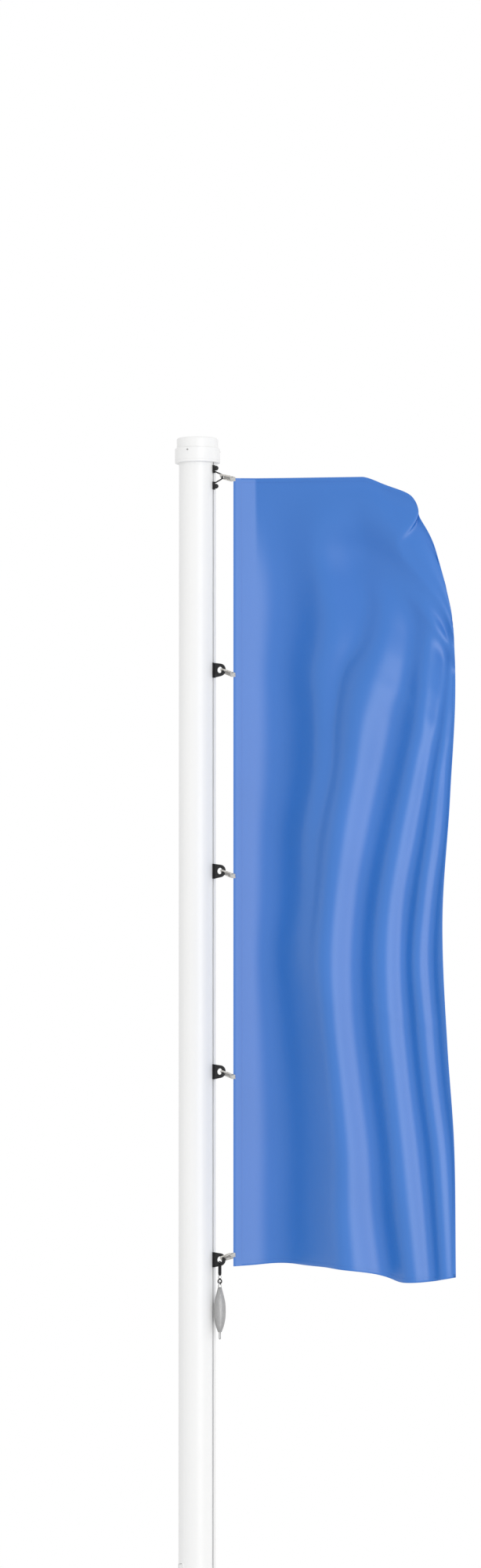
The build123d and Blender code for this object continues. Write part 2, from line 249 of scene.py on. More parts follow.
collar_screws = grown("collar_screws", bpy.data.meshes.new("screw base"), screw_tree, {
    "Count": 3, "Ring Radius": 0.0596, "Height": 4.346, "Turn": math.radians(-85),
    "Screw Radius": 0.0027, "Socket Radius": 0.0015, "Length": 0.004, "Finish": screw_steel})
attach(collar_screws, "pole")


# Hatch: a rim let into the tube's wall and a curved door on two pins, both cast, cleaned up
# and coated with the pole.
for hatch_node in ("hatch_frame", "hatch_door"):
    paint_node(hatch_node, cap_coat)


# Hoist runner and sliders: black nylon mouldings that run in the track. The runner carries two
# knobs and a bow of black coated wire, which takes the flag's top clip.
slider_black, slider_tree, slider_shader = new_finish(
    "slider_black", (0.012, 0.012, 0.013), 0.45, Specular_IOR_Level=0.3)
slider_place = object_place(slider_tree)
slider_tone = noise(slider_tree, slider_place, 90, 4.0)
slider_scuff = between(slider_tree, slider_tone, 0, 1, 0.55, 0.75)
toned(slider_tree, slider_shader, slider_scuff, (0.011, 0.011, 0.012), (0.028, 0.028, 0.03))
slider_tree.links.new(between(slider_tree, slider_tone, 0.36, 0.55), slider_shader.inputs["Roughness"])
bumped(slider_tree, slider_shader, noise(slider_tree, slider_place, 1800, 2.0), 0.00006)
for slider_node in ("hoist_runner", "slider_1", "slider_2", "slider_3", "slider_4"):
    paint_node(slider_node, slider_black)

hook_black, hook_tree, hook_shader = new_finish(
    "hook_black", (0.012, 0.012, 0.013), 0.5, Specular_IOR_Level=0.18)
hook_place = object_place(hook_tree)
hook_wear = between(hook_tree, noise(hook_tree, hook_place, 220, 5.0, 0.6), 0, 1, 0.62, 0.72)
toned(hook_tree, hook_shader, hook_wear, (0.012, 0.012, 0.013), (0.06, 0.06, 0.062))
bumped(hook_tree, hook_shader, noise(hook_tree, hook_place, 900, 2.0), 0.00005)
paint_node("hoist_bow", hook_black)


# Clips: off-white moulded loops, wider at the flag, one for each eye and one for the bow. The
# moulding is smooth, and grimed in patches by weather.
clip_white, clip_tree, clip_shader = new_finish("clip_white", (0.58, 0.56, 0.52), 0.3)
clip_place = object_place(clip_tree)
clip_grime = between(clip_tree, noise(clip_tree, clip_place, 160, 4.0), 0, 1, 0.42, 0.66)
toned(clip_tree, clip_shader, clip_grime, (0.62, 0.60, 0.56), (0.40, 0.38, 0.345))
bumped(clip_tree, clip_shader, noise(clip_tree, clip_place, 700, 2.0), 0.00005)
for clip_number in range(1, 6):
    paint_node(f"clip_{clip_number}", clip_white)


def tube_faces(steps, sides, first):
    """Faces of a tube of rings of points, numbered from a first point."""
    return [
        (first + r * sides + c, first + r * sides + (c + 1) % sides,
         first + (r + 1) * sides + (c + 1) % sides, first + (r + 1) * sides + c)
        for r in range(steps - 1) for c in range(sides)
    ]


# Each clip has a spring tongue, moulded with a bridge between its bars behind the eye.
clip_places = [
    Matrix.Translation((anchor_x, 0, anchor_z)) @ Matrix.Rotation(math.radians(slope), 4, "Y")
    @ Matrix.Translation((reach, 0, 0)) @ Matrix.Rotation(math.radians(-40), 4, "X")
    for anchor_x, anchor_z, reach, slope in (
        (0.079, 4.2735, -0.0053, 14), (0.071, 3.75058, 0.005, 20), (0.071, 3.20751, 0.005, 20),
        (0.071, 2.66764, 0.005, 20), (0.071, 2.16324, 0.005, -15))]
tongue_grey, tongue_tree, tongue_shader = new_finish("tongue_grey", (0.3, 0.29, 0.27), 0.4)
tongue_tone = noise(tongue_tree, object_place(tongue_tree), 300, 3.0)
toned(tongue_tree, tongue_shader, tongue_tone, (0.20, 0.19, 0.18), (0.40, 0.385, 0.36))
# Its section is a bevelled bar, given along the clip as reach, half width and half thickness.
tongue_plan = (
    (0.0100, 0.0050, 0.0006), (0.0103, 0.0062, 0.0012), (0.0132, 0.0064, 0.0013),
    (0.0142, 0.0034, 0.0013), (0.0200, 0.0036, 0.0013), (0.0285, 0.0044, 0.0012),
    (0.0295, 0.0042, 0.0009), (0.0298, 0.0034, 0.0004))
corners = (
    (1, -0.55), (1, 0.55), (0.85, 1), (-0.85, 1), (-1, 0.55), (-1, -0.55), (-0.85, -1), (0.85, -1))
sides = len(corners)
for number, place in enumerate(clip_places, 1):
    points = [
        place @ Vector((reach, y * half, z * tall))
        for reach, half, tall in tongue_plan for y, z in corners]
    ends = [tuple(range(sides)), tuple(range(len(points) - sides, len(points)))[::-1]]
    tongue_mesh = bpy.data.meshes.new(f"clip_tongue_{number}")
    tongue_mesh.from_pydata(points, [], tube_faces(len(tongue_plan), sides, 0) + ends)
    tongue_mesh.materials.append(tongue_grey)
    tongue = show(f"clip_tongue_{number}", tongue_mesh)
    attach(tongue, "flag_set")


# Flag: one cloth of knitted polyester, hung from its hoist edge and blown out to the side. It
# streams in upright folds that crowd towards the fly, and its top corner droops.
cloth_width, cloth_height = 0.80, 2.122
hoist_x, hoist_top = 0.1142, 4.2668
show_side = math.radians(31)
columns, rows = 130, 300


def eased(share):
    """Share from 0 to 1 that starts and ends gently."""
    return share * share * (3 - 2 * share)


def smooth_curve(at, points):
    """Smooth curve through points given as (place, value), by Catmull-Rom pieces."""
    places, values = np.array(points, float).T
    slopes = np.gradient(values, places)
    index = np.clip(np.searchsorted(places, at) - 1, 0, len(places) - 2)
    step = places[index + 1] - places[index]
    t = np.clip((at - places[index]) / step, 0, 1)
    left, right = values[index], values[index + 1]
    return ((2 * t ** 3 - 3 * t ** 2 + 1) * left + (t ** 3 - 2 * t ** 2 + t) * step * slopes[index]
            + (3 * t ** 2 - 2 * t ** 3) * right + (t ** 3 - t ** 2) * step * slopes[index + 1])


# The folds run down the cloth as crests, which face the show side, and dips between them, crest
# and dip in turn from the hoist. Each line gives how far it lies from the hoist, along the show
# side, at these depths below the top, and each crest how far it turns from the lit heading.
line_depths = (0.0, 0.064, 0.106, 0.148, 0.191, 0.233, 0.276, 0.318, 0.360, 0.445, 0.530, 0.615,
               0.784, 0.954, 1.123, 1.293, 1.462, 1.632, 1.802, 1.971, 2.141)
fold_lines = (
    (0.015,) * 21,
    (0.215, 0.198, 0.194, 0.190, 0.190, 0.198, 0.207, 0.211, 0.213, 0.205, 0.194, 0.202,
     0.202, 0.173, 0.166, 0.147, 0.164, 0.181, 0.192, 0.188, 0.194),
    (0.268, 0.272, 0.274, 0.268, 0.264, 0.270, 0.277, 0.287, 0.298, 0.298, 0.268, 0.258,
     0.247, 0.215, 0.205, 0.194, 0.211, 0.226, 0.236, 0.232, 0.238),
    (0.311, 0.342, 0.357, 0.374, 0.385, 0.383, 0.378, 0.378, 0.378, 0.355, 0.300, 0.279,
     0.268, 0.236, 0.219, 0.207, 0.224, 0.241, 0.251, 0.247, 0.253),
    (0.321, 0.353, 0.370, 0.387, 0.397, 0.404, 0.416, 0.431, 0.440, 0.433, 0.423, 0.393,
     0.355, 0.323, 0.296, 0.283, 0.287, 0.306, 0.327, 0.336, 0.355),
    (0.332, 0.363, 0.383, 0.400, 0.410, 0.423, 0.450, 0.484, 0.506, 0.501, 0.489, 0.480,
     0.446, 0.406, 0.374, 0.359, 0.366, 0.385, 0.404, 0.416, 0.440),
    (0.342, 0.372, 0.395, 0.410, 0.423, 0.442, 0.480, 0.518, 0.548, 0.554, 0.548, 0.535,
     0.503, 0.469, 0.436, 0.427, 0.433, 0.450, 0.469, 0.489, 0.503),
    (0.353, 0.380, 0.406, 0.421, 0.436, 0.461, 0.503, 0.539, 0.565, 0.578, 0.571, 0.563,
     0.535, 0.508, 0.482, 0.467, 0.478, 0.495, 0.518, 0.531, 0.542),
    (0.363, 0.391, 0.419, 0.433, 0.446, 0.480, 0.525, 0.558, 0.578, 0.588, 0.590, 0.580,
     0.558, 0.542, 0.516, 0.503, 0.516, 0.531, 0.552, 0.563, 0.571),
    (0.406, 0.444, 0.472, 0.484, 0.491, 0.514, 0.562, 0.600, 0.612, 0.607, 0.601, 0.590,
     0.573, 0.563, 0.544, 0.535, 0.544, 0.558, 0.578, 0.586, 0.588),
    (0.469, 0.491, 0.497, 0.510, 0.527, 0.556, 0.605, 0.640, 0.650, 0.640, 0.625, 0.612,
     0.595, 0.584, 0.571, 0.563, 0.571, 0.586, 0.605, 0.614, 0.618),
)
crest_turns = (
    (0,) * 21,
    (20, 16, 13, 12, 11, 12, 13, 14, 15, 17, 22, 30, 42, 54, 64, 72, 78, 84, 88, 90, 90),
    (90, 90, 90, 90, 85, 72, 54, 38, 24, 13, 6, 2) + (0,) * 9,
    (90, 90, 90, 90, 85, 68, 46, 26, 10, 2, 0, 0) + (0,) * 9,
    (7, 7, 9, 10, 11, 8, 6, 6, 10, 12, 6, 4) + (0,) * 9,
    (30, 20, 11, 6, 6, 11, 16, 30, 30, 30, 30, 32, 34, 36, 38, 40, 42, 46, 50, 50, 50),
)
fly_line = [(0, 0.566), (0.05, 0.583), (0.11, 0.590), (0.32, 0.575), (0.5, 0.553), (0.69, 0.566),
            (0.81, 0.582), (1, 0.587)]
lit_heading = math.radians(43)
view_rise = math.tan(math.radians(5))

u = np.linspace(0, 1, columns + 1)
v = np.linspace(0, 1, rows + 1)
uu, vv = np.meshgrid(u, v)
droop, droop_start = 0.294, 0.48
top_drop = droop * np.clip((u - droop_start) / (1 - droop_start), 0, 1) ** 1.4
low_drop = smooth_curve(u, [
    (0, 0), (0.06, -0.003), (0.15, -0.009), (0.3, -0.007), (0.5, -0.004), (0.65, 0.008),
    (0.76, 0.027), (0.86, 0.027), (0.93, 0.021), (1, 0.012)])
cloth_z = hoist_top - cloth_height * vv - top_drop * (1 - vv) ** 1.3 - low_drop * vv ** 2
# The drooping corner also draws the upper rows in, which stands for small folds that aren't made.
gather, gather_stop = 0.098, 0.22
corner_gather = 1 - gather * np.clip(1 - v / gather_stop, 0, 1) ** 1.2
step = cloth_width / columns * corner_gather[:, None]
fall = np.diff(cloth_z, axis=1) / step
advance = step * np.sqrt(np.clip(1 - fall ** 2, 0.05, 1))
sunk = hoist_top - cloth_z
lines_here = np.stack([smooth_curve(sunk, list(zip(line_depths, line))) for line in fold_lines])
turns_here = np.stack([smooth_curve(sunk, list(zip(line_depths, turns))) for turns in crest_turns])
turns_here = np.radians(turns_here)
row_index = np.arange(rows + 1)


def heading_at(column, across, depth):
    """Heading of the cloth at a reach: the crest's own on a crest, turned by the depth in a dip."""
    lines = lines_here[:, :, column]
    turn = np.zeros(rows + 1)
    for k in range(len(fold_lines) - 1):
        turn += np.clip((across - lines[k]) / (lines[k + 1] - lines[k]), 0, 1)
    crest = np.rint(turn / 2).astype(int)
    crest_turn = np.minimum(turns_here[crest, row_index, column], depth)
    blend = ((1 - np.cos(np.abs(turn - 2 * crest) * np.pi)) / 2) ** 1.4
    return lit_heading - crest_turn - (depth - crest_turn) * blend


def stream(depth):
    """Runs each row of cloth out from the hoist with folds of a depth in radians."""
    across = np.zeros(rows + 1)
    headings = np.zeros((rows + 1, columns))
    for column in range(columns):
        headings[:, column] = heading_at(column, across, depth)
        across = across + advance[:, column] * np.cos(headings[:, column] - show_side)
    return across, headings


# Each row's folds are as deep as it takes for its width of cloth to end at the fly.
fly_reach = smooth_curve(v, fly_line)
low = np.full(rows + 1, math.radians(10))
high = np.full(rows + 1, math.radians(112))
for _ in range(22):
    depth = (low + high) / 2
    wide = stream(depth)[0] > fly_reach
    low, high = np.where(wide, depth, low), np.where(wide, high, depth)


def softened(field, reach):
    """Field of rows and columns, averaged along both with a bell of a reach in cells."""
    bell = np.hanning(2 * reach + 3)[1:-1]
    bell = bell / bell.sum()
    for axis in (0, 1):
        padded = np.pad(field, [(reach, reach) if k == axis else (0, 0) for k in (0, 1)], mode="edge")
        field = np.apply_along_axis(np.convolve, axis, padded, bell, "valid")
    return field


depth = softened(((low + high) / 2)[:, None], 10)[:, 0]
heading = softened(stream(depth)[1], 2)
# Where the folds run together below the top corner they are shallow, and deepen further down.
shallow = np.clip((0.46 - sunk[:, 1:]) / 0.16, 0, 1) * np.clip((u[1:] - 0.55) / 0.2, 0, 1)
heading = heading + (softened(heading, 12) - heading) * eased(shallow)
across = np.concatenate([np.zeros((rows + 1, 1)), np.cumsum(advance * np.cos(heading - show_side), 1)], 1)
away = np.concatenate([np.zeros((rows + 1, 1)), np.cumsum(advance * np.sin(heading - show_side), 1)], 1)
across += (fly_reach - across[:, -1])[:, None] * uu ** 3
# The upper rows have fewer folds, so past the hoist they swing in to stay beside the lower ones.
swing_room, swing_start = 0.090, 0.06
side = across * math.sin(show_side) + away * math.cos(show_side)
far = np.argmax(side, 1)
swing = np.clip(across - swing_start, 0, None)
excess = np.clip(side[row_index, far] - swing_room, 0, None)
excess = excess / np.maximum(swing[row_index, far], 0.05) / math.cos(show_side)
away = away - softened(excess[:, None], 10) * swing
# Near the top corner the cloth laps over itself in one tuck, which runs out lower down.
tuck_line = smooth_curve(sunk, [
    (0, 0.458), (0.045, 0.470), (0.095, 0.488), (0.14, 0.478), (0.18, 0.452), (0.26, 0.42)])
tuck_fade = np.clip((0.205 - sunk) / 0.11, 0, 1)
tuck = np.exp(-((across - tuck_line + 0.030) / 0.024) ** 2) * eased(tuck_fade)
across = across + 0.032 * tuck
away = away - 0.022 * tuck
# What stands nearer to the show side's viewer, who looks up, is let down to keep its drawn height.
cloth_x = hoist_x + across * math.cos(show_side) - away * math.sin(show_side)
cloth_y = across * math.sin(show_side) + away * math.cos(show_side)
nearer = (cloth_x - hoist_x) * math.sin(show_side) - cloth_y * math.cos(show_side)
cloth_z = cloth_z - view_rise * nearer


def sheet_mesh(name, points, uvs):
    """Grid mesh of points in rows and columns, with a UV map in metres of flat cloth."""
    tall, wide = points.shape[:2]
    made = bpy.data.meshes.new(name)
    faces = [
        (r * wide + c, (r + 1) * wide + c, (r + 1) * wide + c + 1, r * wide + c + 1)
        for r in range(tall - 1) for c in range(wide - 1)
    ]
    made.from_pydata(points.reshape(-1, 3).tolist(), [], faces)
    layer = made.uv_layers.new(name="cloth")
    flat = uvs.reshape(-1, 2)
    index = np.zeros(len(made.loops), np.int32)
    made.loops.foreach_get("vertex_index", index)
    layer.data.foreach_set("uv", flat[index].astype(np.float32).ravel())
    made.polygons.foreach_set("use_smooth", [True] * len(made.polygons))
    made.update()
    return made


def thickened(name, mesh, thickness):
    """Object of a sheet mesh with its thickness, its rim kept hard."""
    made = show(name, mesh)
    thick = made.modifiers.new("thickness", "SOLIDIFY")
    thick.thickness = thickness
    thick.offset = 0
    graph = bpy.context.evaluated_depsgraph_get()
    solid = bpy.data.meshes.new_from_object(made.evaluated_get(graph))
    made.modifiers.clear()
    made.data = solid
    solid.set_sharp_from_angle(angle=math.radians(50))
    return made


cloth_points = np.stack([cloth_x, cloth_y, cloth_z], -1)
cloth_uv = np.stack([uu * cloth_width, vv * cloth_height], -1)
cloth_thickness = 0.0006
flag = thickened("flag_cloth", sheet_mesh("flag_cloth", cloth_points, cloth_uv), cloth_thickness)

# Its hems are folded over the four edges, the hoist's the widest, and sewn with blue thread.
cloth_normals = np.cross(np.gradient(cloth_points, axis=0), np.gradient(cloth_points, axis=1))
cloth_normals /= np.linalg.norm(cloth_normals, axis=-1, keepdims=True)


def cloth_at(field, across_share, down_share):
    """Value of a field of rows and columns, at shares of the cloth's width and height."""
    c, r = across_share * columns, down_share * rows
    left, top = np.minimum(c.astype(int), columns - 1), np.minimum(r.astype(int), rows - 1)
    c, r = (c - left)[..., None], (r - top)[..., None]
    upper = field[top, left] * (1 - c) + field[top, left + 1] * c
    lower = field[top + 1, left] * (1 - c) + field[top + 1, left + 1] * c
    return upper * (1 - r) + lower * r


def hem_places(edge, inset):
    """Shares of width and height along one edge of the cloth, set in from it."""
    along = np.linspace(0, 1, rows + 1 if edge in ("hoist", "fly") else columns + 1)
    across, down = inset / cloth_width, inset / cloth_height
    if edge in ("hoist", "fly"):
        return np.full_like(along, across if edge == "hoist" else 1 - across), along
    return along, np.full_like(along, down if edge == "top" else 1 - down)


def hem(edge, width):
    """Band folded over one edge of the cloth, from its inner edge in front to that behind."""
    edge_points = cloth_at(cloth_points, *hem_places(edge, 0.0))
    out = edge_points - cloth_at(cloth_points, *hem_places(edge, 0.004))
    out /= np.linalg.norm(out, axis=-1, keepdims=True)
    fold = 0.0012 if edge == "hoist" else 0.0008
    front = ((1, 0.3), (1, 0.9), (0.8, 1), (0.5, 1), (0.05, 1))
    behind = tuple((inset, -lift) for inset, lift in front[::-1])
    lines, maps = [], []
    for inset, lift in (*front, (0, 0), *behind):
        places = hem_places(edge, inset * width)
        line = cloth_at(cloth_points, *places) + cloth_at(cloth_normals, *places) * (lift * fold)
        lines.append(line + out * (0.0007 if inset == 0 else 0))
        maps.append(np.stack([places[0] * cloth_width, places[1] * cloth_height], -1))
    made = show(f"{edge}_hem", sheet_mesh(f"{edge}_hem", np.stack(lines, 1), np.stack(maps, 1)))
    made.data.set_sharp_from_angle(angle=math.radians(40))
    return made


hem_widths = {"hoist": 0.022, "top": 0.011, "fly": 0.011, "bottom": 0.011}
hems = [hem(edge, width) for edge, width in hem_widths.items()]

stitch_tree, given, result = node_tree("stitches", {
    "Pitch": "Float", "Length": "Float", "Width": "Float", "Depth": "Float", "Finish": "Material"})
seam = add(stitch_tree, "GeometryNodeMeshToCurve", {"Mesh": given["Base"]}).outputs[0]
seam = add(stitch_tree, "GeometryNodeResampleCurve", {
    "Curve": seam, "Length": given["Pitch"]}, mode="LENGTH").outputs[0]
lie = add(stitch_tree, "GeometryNodeInputNamedAttribute", {"Name": "face"}, data_type="FLOAT_VECTOR")
run = add(stitch_tree, "GeometryNodeInputTangent")
set_to = add(stitch_tree, "FunctionNodeAxesToRotation", {
    0: run.outputs[0], 1: lie.outputs[0]}, primary_axis="X", secondary_axis="Z")
thread = add(stitch_tree, "GeometryNodeMeshUVSphere", {"Segments": 6, "Rings": 4, "Radius": 0.5})
thread = add(stitch_tree, "GeometryNodeSetShadeSmooth", {"Geometry": thread.outputs["Mesh"]}).outputs[0]
size = add(stitch_tree, "ShaderNodeCombineXYZ", {
    "X": given["Length"], "Y": given["Width"], "Z": given["Depth"]}).outputs[0]
stitches = add(stitch_tree, "GeometryNodeInstanceOnPoints", {
    "Points": seam, "Instance": thread, "Rotation": set_to.outputs[0], "Scale": size})
finish_tree(stitch_tree, stitches.outputs[0], given["Finish"], result)
seam_points, seam_faces, seam_edges = [], [], []
seam_insets = (("hoist", 0.019), ("hoist", 0.004), ("top", 0.009), ("fly", 0.009), ("bottom", 0.009))
for edge, inset in seam_insets:
    places = [place[1:-1] for place in hem_places(edge, inset)]
    first = sum(map(len, seam_points))
    seam_points.append(cloth_at(cloth_points, *places))
    seam_faces.append(cloth_at(cloth_normals, *places))
    seam_edges += [(first + k, first + k + 1) for k in range(len(places[0]) - 1)]
seam_mesh = bpy.data.meshes.new("seams")
seam_mesh.from_pydata(np.concatenate(seam_points).tolist(), seam_edges, [])
seam_face = seam_mesh.attributes.new("face", "FLOAT_VECTOR", "POINT")
seam_face.data.foreach_set("vector", np.concatenate(seam_faces).astype(np.float32).ravel())

flag_blue, flag_tree, flag_shader = new_finish(
    "flag_blue", (0.01, 0.134, 0.53), 0.44, Specular_IOR_Level=0.75)
cloth_map = add(flag_tree, "ShaderNodeUVMap", uv_map="cloth").outputs["UV"]
dye = between(flag_tree, noise(flag_tree, cloth_map, 2.5, 3.0), 0, 1, 0.35, 0.65)
toned(flag_tree, flag_shader, dye, (0.013, 0.146, 0.520), (0.016, 0.154, 0.546))
knit = add(flag_tree, "ShaderNodeTexWave", {
    "Vector": cloth_map, "Scale": 160.0, "Distortion": 0.4}, bands_direction="X")
bumped(flag_tree, flag_shader, knit.outputs["Fac"], 0.00004)
thread_blue, thread_look, thread_shader = new_finish("thread_blue", (0.01, 0.14, 0.5), 0.45)
thread_tone = noise(thread_look, object_place(thread_look), 700, 2.0)
toned(thread_look, thread_shader, thread_tone, (0.05, 0.22, 0.58), (0.08, 0.27, 0.66))
flag_stitches = grown("flag_stitches", seam_mesh, stitch_tree, {
    "Pitch": 0.0042, "Length": 0.0031, "Width": 0.0006, "Depth": 0.0029, "Finish": thread_blue})
for piece in (flag, *hems):
    piece.data.materials.append(flag_blue)
for piece in (flag, *hems, flag_stitches):
    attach(piece, "flag_set")
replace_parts(flag, "flag")


# Straps: short bands of off-white webbing, passed round each clip's wide end and sewn into the
# flag's hoist hem. Each band lies along the clip's bar and turns to lie along the cloth's edge.
strap_white, strap_tree, strap_shader = new_finish("strap_white", (0.66, 0.65, 0.61), 0.7)
strap_map = add(strap_tree, "ShaderNodeUVMap", uv_map="cloth").outputs["UV"]
strap_ribs = add(strap_tree, "ShaderNodeTexWave", {
    "Vector": strap_map, "Scale": 420.0, "Distortion": 0.6}, bands_direction="Y")
strap_tone = noise(strap_tree, strap_map, 260, 3.0)
toned(strap_tree, strap_shader, strap_tone, (0.58, 0.57, 0.53), (0.74, 0.73, 0.70))
bumped(strap_tree, strap_shader, strap_ribs.outputs["Fac"], 0.00025)
strap_radius, strap_half, strap_thickness = 0.0031, 0.0055, 0.0012
strap_tuck, strap_apart, strap_lead, bar_reach = 0.0045, 0.0014, 0.004, 0.034
for number, place in enumerate(clip_places, 1):
    bar = place @ Matrix.Translation((bar_reach, 0, 0))
    bar_run = bar.to_3x3() @ Vector((1, 0, 0))
    bar_wide = bar.to_3x3() @ Vector((0, 1, 0))
    edge_z = bar.translation.z + bar_run.z / bar_run.x * (hoist_x - bar.translation.x)
    line, wide = [], []
    for side in (1, -1):
        leave = bar @ Vector((0, 0, side * strap_radius))
        sewn = Vector((hoist_x + strap_tuck, side * strap_apart, edge_z))
        ply = []
        for t in np.linspace(0, 1, 15):
            start = leave + bar_run * (strap_lead * t)
            stop = sewn - Vector((strap_lead * (1 - t), 0, 0))
            lie = bar_wide.lerp(Vector((0, 0, -1)), t).normalized()
            ply.append((start.lerp(stop, eased(t)), lie))
        turn_points = [
            (bar @ Vector((-strap_radius * math.sin(a), 0, side * strap_radius * math.cos(a))), bar_wide)
            for a in np.linspace(0, math.pi / 2, 9)]
        half_loop = ply[::-1] + turn_points[1:]
        half_loop = half_loop if side == 1 else half_loop[::-1][1:]
        line += [spot for spot, _ in half_loop]
        wide += [lie for _, lie in half_loop]
    line = np.array(line)
    wide = np.array(wide)
    shares = np.linspace(-1, 1, 9)
    band = line[:, None, :] + wide[:, None, :] * (shares * strap_half)[None, :, None]
    along = np.concatenate([[0], np.cumsum(np.linalg.norm(np.diff(line, axis=0), axis=1))])
    band_uv = np.stack(np.meshgrid(shares * strap_half, along), -1)
    strap_name = f"strap_band_{number}"
    strap = thickened(strap_name, sheet_mesh(strap_name, band, band_uv), strap_thickness)
    strap.data.materials.append(strap_white)
    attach(strap, "flag_set")
    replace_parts(strap, f"strap_{number}")


# Weight's hook, swivel and ring: a black snap hook on the lowest eye, a bright turned swivel
# under it and a black ring; a bright ferrule closes the sleeve's neck.
swivel_metal, swivel_tree, swivel_shader = new_finish("swivel_metal", (0.6, 0.6, 0.58), 0.28, Metallic=1.0)
turning = noise(swivel_tree, object_place(swivel_tree, (60, 60, 2600)), 1.0, 3.0)
toned(swivel_tree, swivel_shader, turning, (0.5, 0.5, 0.49), (0.7, 0.7, 0.68))
swivel_tree.links.new(between(swivel_tree, turning, 0.2, 0.4), swivel_shader.inputs["Roughness"])
bumped(swivel_tree, swivel_shader, turning, 0.00004)
for weight_node, weight_finish in (
        ("weight_hook", hook_black), ("weight_swivel", swivel_metal), ("weight_ring", hook_black),
        ("weight_ferrule", swivel_metal)):
    paint_node(weight_node, weight_finish)

# The hook's barrel stands between its legs and guides the bolt that shuts its mouth.
weight_x = 0.071
barrel_line = (
    (0.0002, 2.1215), (0.0034, 2.1215), (0.0041, 2.1224), (0.0041, 2.1400), (0.0036, 2.1420),
    (0.0022, 2.1432), (0.0020, 2.1482), (0.0015, 2.1490), (0.0002, 2.1490))
barrel_turns = np.radians(range(0, 360, 15))
barrel_points = [
    (weight_x + r * math.cos(a), r * math.sin(a), z) for r, z in barrel_line for a in barrel_turns]
barrel_mesh = bpy.data.meshes.new("hook_barrel")
barrel_mesh.from_pydata(barrel_points, [], tube_faces(len(barrel_line), len(barrel_turns), 0))
barrel_mesh.polygons.foreach_set("use_smooth", [True] * len(barrel_mesh.polygons))
barrel_mesh.set_sharp_from_angle(angle=math.radians(40))
barrel_mesh.materials.append(hook_black)
barrel = show("hook_barrel", barrel_mesh)
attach(barrel, "weight")


# Weight's core: a rough iron casting that fills the sleeve and gives it its weight. It shows, if
# at all, only between the strands.
core_iron, core_tree, core_shader = new_finish("core_iron", (0.06, 0.06, 0.062), 0.7, Metallic=0.4)
core_tone = noise(core_tree, object_place(core_tree), 400, 4.0)
toned(core_tree, core_shader, core_tone, (0.04, 0.04, 0.042), (0.10, 0.10, 0.10))
bumped(core_tree, core_shader, core_tone, 0.0004)
paint_node("weight_core", core_iron)


# Weight's sleeve: a tube of grey braid drawn over the core, so that it swells in the middle. Its
# strands run round it both ways, over and under each other, and the ends are gathered.
sleeve_grey, sleeve_tree, sleeve_shader = new_finish("sleeve_grey", (0.26, 0.26, 0.26), 0.36, Metallic=0.8)
sleeve_place = object_place(sleeve_tree)
sleeve_tone = noise(sleeve_tree, sleeve_place, 500, 3.0)
toned(sleeve_tree, sleeve_shader, sleeve_tone, (0.34, 0.34, 0.34), (0.57, 0.568, 0.564))
bumped(sleeve_tree, sleeve_shader, noise(sleeve_tree, sleeve_place, 2600, 2.0), 0.0001)

sleeve_top, sleeve_length, sleeve_radius = 2.0894, 0.120, 0.016
sleeve_shares = [
    (0, 0.30), (0.18, 0.66), (0.33, 0.91), (0.54, 1), (0.67, 0.96), (0.84, 0.73), (1, 0.32)]
strands, strand_steps, braid_lay = 30, 230, math.radians(33)
strand_lift, strand_half, strand_sunk = 0.0003, 0.00022, 0.0005
down = np.linspace(0, 1, 2400)
skin = sleeve_radius * smooth_curve(down, sleeve_shares)
turn_steps = math.tan(braid_lay) * sleeve_length / (len(down) - 1) / skin[:-1]
wound = np.concatenate([[0], np.cumsum(turn_steps)])
strand_turn = np.linspace(0, wound[-1], strand_steps)
strand_down = np.interp(strand_turn, wound, down)
strand_skin = np.interp(strand_down, down, skin) - strand_sunk
strand_z = sleeve_top - sleeve_length * strand_down
strand_points, strand_faces = [], []
for way in (1, -1):
    turn = way * strand_turn
    radius = strand_skin + way * strand_lift * np.cos(strands * strand_turn)
    centre = np.stack([radius * np.cos(turn), radius * np.sin(turn), strand_z], -1)
    run_way = np.gradient(centre, axis=0)
    run_way /= np.linalg.norm(run_way, axis=1, keepdims=True)
    up = np.stack([np.cos(turn), np.sin(turn), np.zeros_like(turn)], -1)
    across_way = np.cross(run_way, up)
    half_width = 0.97 * math.pi * strand_skin / strands * math.cos(braid_lay)
    rings = [
        centre + across_way * (half_width * math.cos(a))[:, None] + up * (strand_half * math.sin(a))
        for a in np.radians([0, 60, 120, 180, 240, 300])]
    strand_faces += tube_faces(strand_steps, 6, sum(map(len, strand_points)))
    strand_points.append(np.stack(rings, 1).reshape(-1, 3))
strand_mesh = bpy.data.meshes.new("strands")
strand_mesh.from_pydata(np.concatenate(strand_points).tolist(), [], strand_faces)
strand_mesh.polygons.foreach_set("use_smooth", [True] * len(strand_mesh.polygons))

braid_tree, given, result = node_tree("braid", {"Strands": "Int", "Axis": "Vector", "Finish": "Material"})
stations = add(braid_tree, "GeometryNodePoints", {"Count": given["Strands"]}).outputs[0]
share_turn = worked(braid_tree, "DIVIDE", 2 * math.pi, given["Strands"])
index = add(braid_tree, "GeometryNodeInputIndex").outputs[0]
own_turn = worked(braid_tree, "MULTIPLY", share_turn, index)
braid = add(braid_tree, "GeometryNodeInstanceOnPoints", {
    "Points": stations, "Instance": given["Base"], "Rotation": spun(braid_tree, own_turn)}).outputs[0]
braid = add(braid_tree, "GeometryNodeTransform", {
    "Geometry": braid, "Translation": given["Axis"]}).outputs[0]
finish_tree(braid_tree, braid, given["Finish"], result)
sleeve = grown("weight_braid", strand_mesh, braid_tree, {
    "Strands": strands, "Axis": (weight_x, 0.0, 0.0), "Finish": sleeve_grey})
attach(sleeve, "weight")
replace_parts(sleeve, "weight_sleeve")


